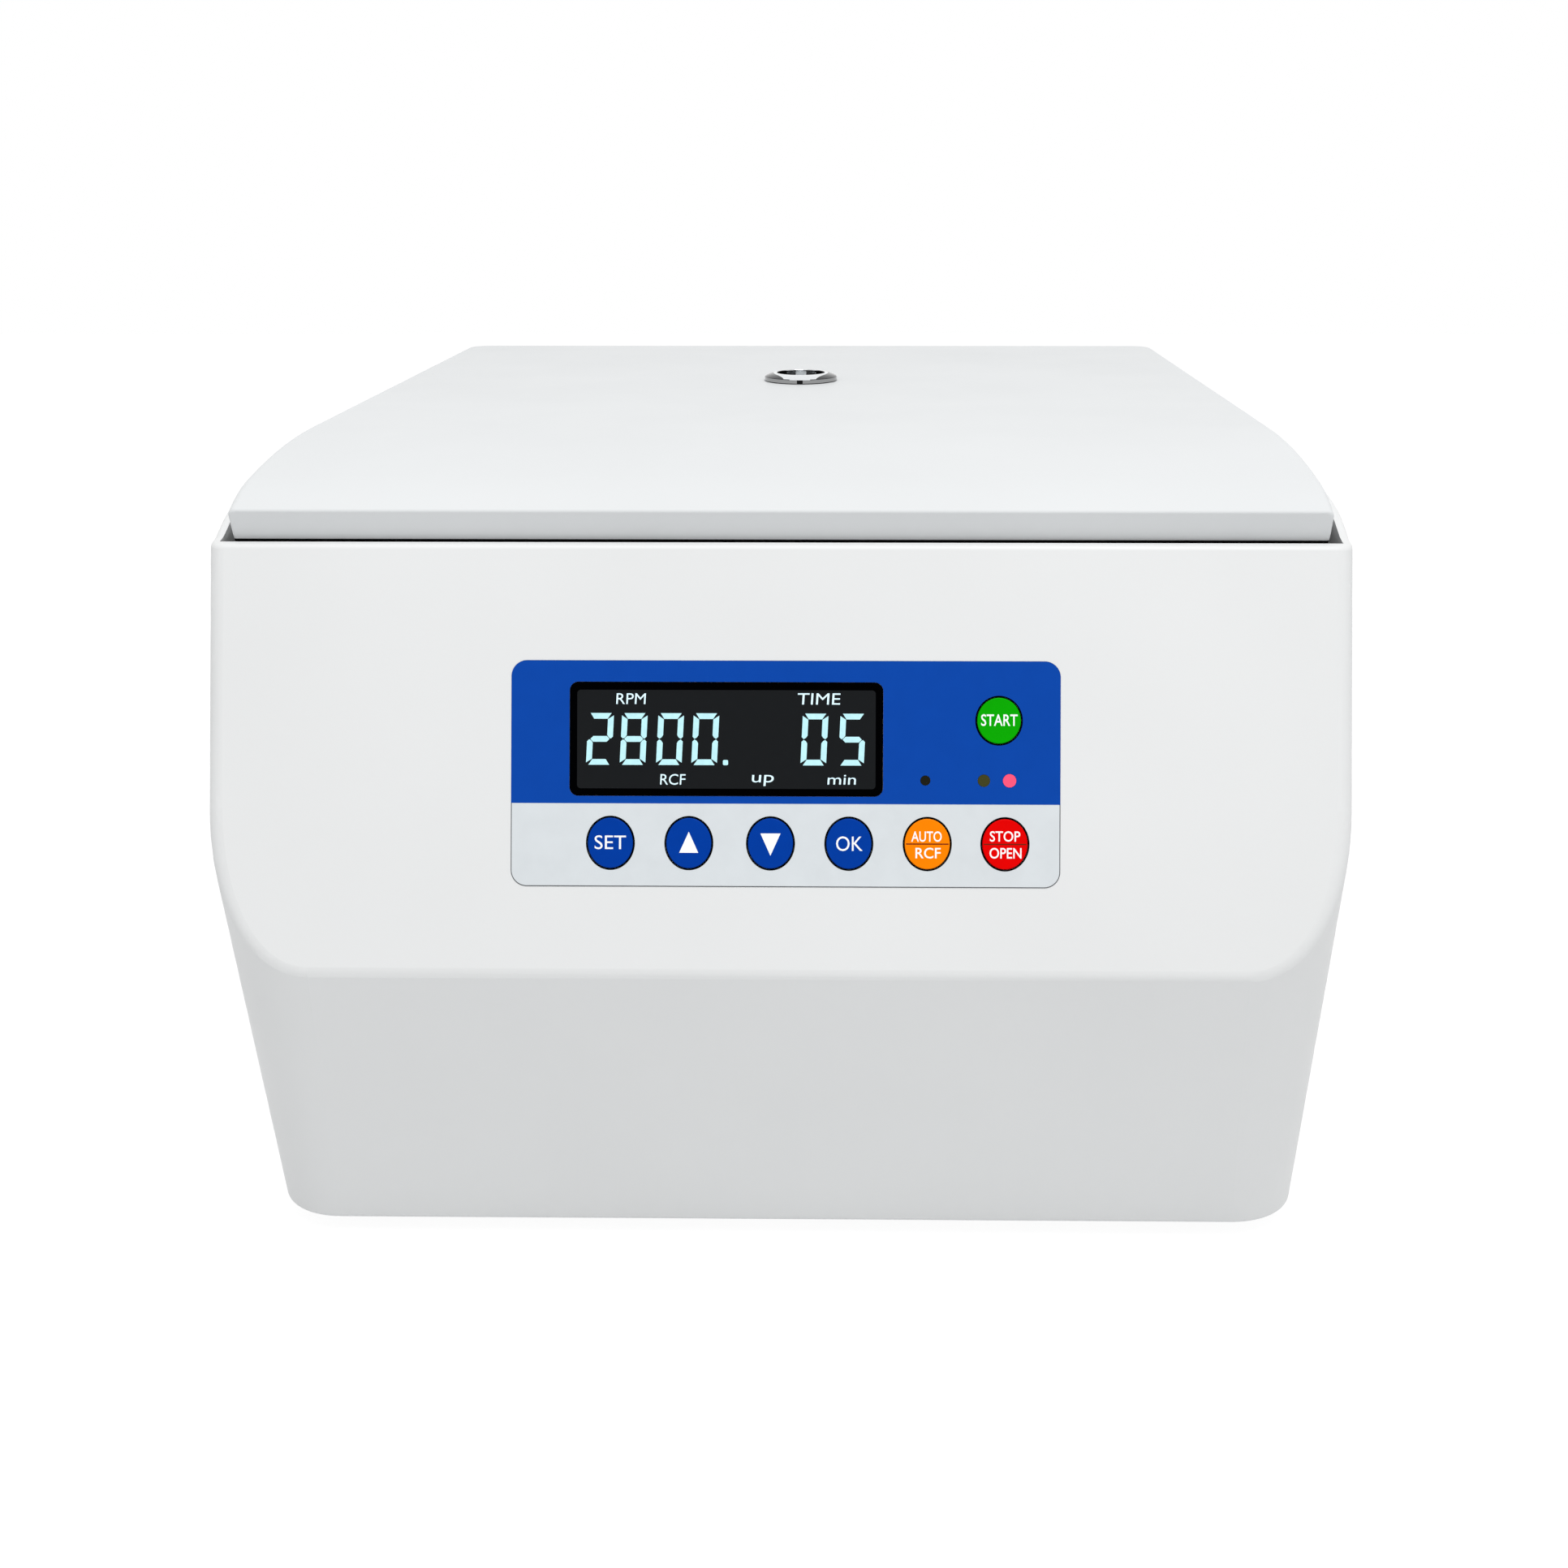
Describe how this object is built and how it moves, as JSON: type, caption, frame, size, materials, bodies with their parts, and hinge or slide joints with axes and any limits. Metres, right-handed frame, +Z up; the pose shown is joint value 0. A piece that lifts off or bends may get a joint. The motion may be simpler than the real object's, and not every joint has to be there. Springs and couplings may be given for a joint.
{
  "type": "microplate centrifuge",
  "caption": "Bench microplate centrifuge with a hinged lid with a sight glass, a swing-out plate rotor in a steel bowl, and a keyed front panel with a display.",
  "frame": {"origin": "on the bench, under the middle of the overall box", "axes": "+Z up, -Y is the front with the keys, +X to the right seen from the front"},
  "size_m": [0.44, 0.5275, 0.3534],
  "materials": {
    "shell_white": "satin moulded",
    "lid_white": "satin moulded",
    "steel_sheet": "brushed",
    "coated_sheet": "powder coat",
    "stainless": "polished",
    "aluminium_cast": "satin anodised",
    "aluminium_dark": "black anodised",
    "rubber_black": "matt",
    "rubber_grey": "matt",
    "chrome_ring": "polished",
    "clear_window": "clear",
    "overlay_film": "satin printed film",
    "display_glass": "gloss smoked",
    "black_plastic": "moulded",
    "board_green": "solder mask",
    "key_blue": "satin",
    "key_orange": "satin",
    "key_red": "satin",
    "key_green": "satin",
    "led_lens": "diffused",
    "steel_machined": "ground",
    "stator_iron": "laminated",
    "screw_steel": "zinc plated"
  },
  "bodies": {
    "chassis": {"housing": "shell_white", "base_plate": "coated_sheet", "rubber_feet": "rubber_black", "chassis_screws": "screw_steel", "rear_panel": "coated_sheet", "deck_plate": "coated_sheet", "bowl": "stainless", "bowl_gasket": "rubber_grey", "hinge_brackets": "steel_sheet", "hinge_pins": "steel_machined", "latch_frame": "steel_sheet", "latch_pivot_pin": "steel_machined", "latch_solenoid": "black_plastic", "lid_switch": "black_plastic", "motor_can": "aluminium_dark", "motor_end_cap": "aluminium_cast", "motor_bearings": "steel_machined", "motor_stator": "stator_iron", "motor_plate": "steel_sheet", "motor_dampers": "rubber_black", "motor_boot": "rubber_black", "control_overlay": "overlay_film", "display_window": "display_glass", "display_module": "black_plastic", "control_board": "board_green", "indicator_leds": "led_lens", "driver_board": "board_green", "heatsink": "aluminium_cast", "power_supply": "steel_sheet", "inlet_module": "black_plastic", "fan_frame": "black_plastic", "fan_guard": "screw_steel"},
    "lid": {"lid_shell": "lid_white", "lid_liner": "coated_sheet", "lid_screws": "screw_steel", "sight_ring": "chrome_ring", "sight_window": "clear_window", "hinge_arms": "steel_sheet", "lid_striker": "steel_machined"},
    "rotor": {"rotor_yoke": "aluminium_cast", "trunnion_pins": "steel_machined", "spindle": "steel_machined", "rotor_nut": "aluminium_dark", "motor_core": "stator_iron"},
    "bucket_left": {"bucket_left": "aluminium_cast", "bucket_pad_left": "rubber_black"},
    "bucket_right": {"bucket_right": "aluminium_cast", "bucket_pad_right": "rubber_black"},
    "latch_pawl": {"latch_pawl": "steel_machined"},
    "latch_plunger": {"latch_plunger": "steel_machined"},
    "power_rocker": {"power_rocker": "black_plastic"},
    "fan_rotor": {"fan_rotor": "black_plastic"},
    "key_set": {"key_set": "key_blue"},
    "key_up": {"key_up": "key_blue"},
    "key_down": {"key_down": "key_blue"},
    "key_ok": {"key_ok": "key_blue"},
    "key_auto": {"key_auto": "key_orange"},
    "key_stop": {"key_stop": "key_red"},
    "key_start": {"key_start": "key_green"}
  },
  "joints": [
    {"name": "lid_hinge", "type": "hinge", "parent": "chassis", "child": "lid", "pos_m": [0, 0.235, 0.34213], "axis": [-1, 0, 0], "range_deg": [0, 75]},
    {"name": "rotor_spin", "type": "hinge", "parent": "chassis", "child": "rotor", "pos_m": [0, 0.07599, 0.24], "axis": [0, 0, 1], "continuous": true},
    {"name": "bucket_left_swing", "type": "hinge", "parent": "rotor", "child": "bucket_left", "pos_m": [-0.072, 0.07599, 0.24], "axis": [0, 1, 0], "range_deg": [0, 90]},
    {"name": "bucket_right_swing", "type": "hinge", "parent": "rotor", "child": "bucket_right", "pos_m": [0.072, 0.07599, 0.24], "axis": [0, -1, 0], "range_deg": [0, 90]},
    {"name": "key_set_press", "type": "slide", "parent": "chassis", "child": "key_set", "axis": [0, 0.9613, -0.2756], "range_m": [0, 0.0008], "stiffness_N_per_m": 1500},
    {"name": "key_up_press", "type": "slide", "parent": "chassis", "child": "key_up", "axis": [0, 0.9613, -0.2756], "range_m": [0, 0.0008], "stiffness_N_per_m": 1500},
    {"name": "key_down_press", "type": "slide", "parent": "chassis", "child": "key_down", "axis": [0, 0.9613, -0.2756], "range_m": [0, 0.0008], "stiffness_N_per_m": 1500},
    {"name": "key_ok_press", "type": "slide", "parent": "chassis", "child": "key_ok", "axis": [0, 0.9613, -0.2756], "range_m": [0, 0.0008], "stiffness_N_per_m": 1500},
    {"name": "key_auto_press", "type": "slide", "parent": "chassis", "child": "key_auto", "axis": [0, 0.9613, -0.2756], "range_m": [0, 0.0008], "stiffness_N_per_m": 1500},
    {"name": "key_stop_press", "type": "slide", "parent": "chassis", "child": "key_stop", "axis": [0, 0.9613, -0.2756], "range_m": [0, 0.0008], "stiffness_N_per_m": 1500},
    {"name": "key_start_press", "type": "slide", "parent": "chassis", "child": "key_start", "axis": [0, 0.9613, -0.2756], "range_m": [0, 0.0008], "stiffness_N_per_m": 1500},
    {"name": "latch_pawl_swing", "type": "hinge", "parent": "chassis", "child": "latch_pawl", "pos_m": [0, -0.16804, 0.25], "axis": [1, 0, 0], "range_deg": [0, 20], "stiffness_Nm_per_rad": 0.05},
    {"name": "latch_plunger_slide", "type": "slide", "parent": "chassis", "child": "latch_plunger", "axis": [0, 1, 0], "range_m": [0, 0.006]},
    {"name": "power_rocker_rock", "type": "hinge", "parent": "chassis", "child": "power_rocker", "pos_m": [0.105, 0.25575, 0.1065], "axis": [-1, 0, 0], "range_deg": [0, 16]},
    {"name": "fan_spin", "type": "hinge", "parent": "chassis", "child": "fan_rotor", "pos_m": [-0.085, 0.24425, 0.097], "axis": [0, 1, 0], "continuous": true}
  ],
  "couplings": [
    {"joint": "latch_plunger_slide", "follows": "latch_pawl_swing", "m_per_rad": 0.016}
  ]
}
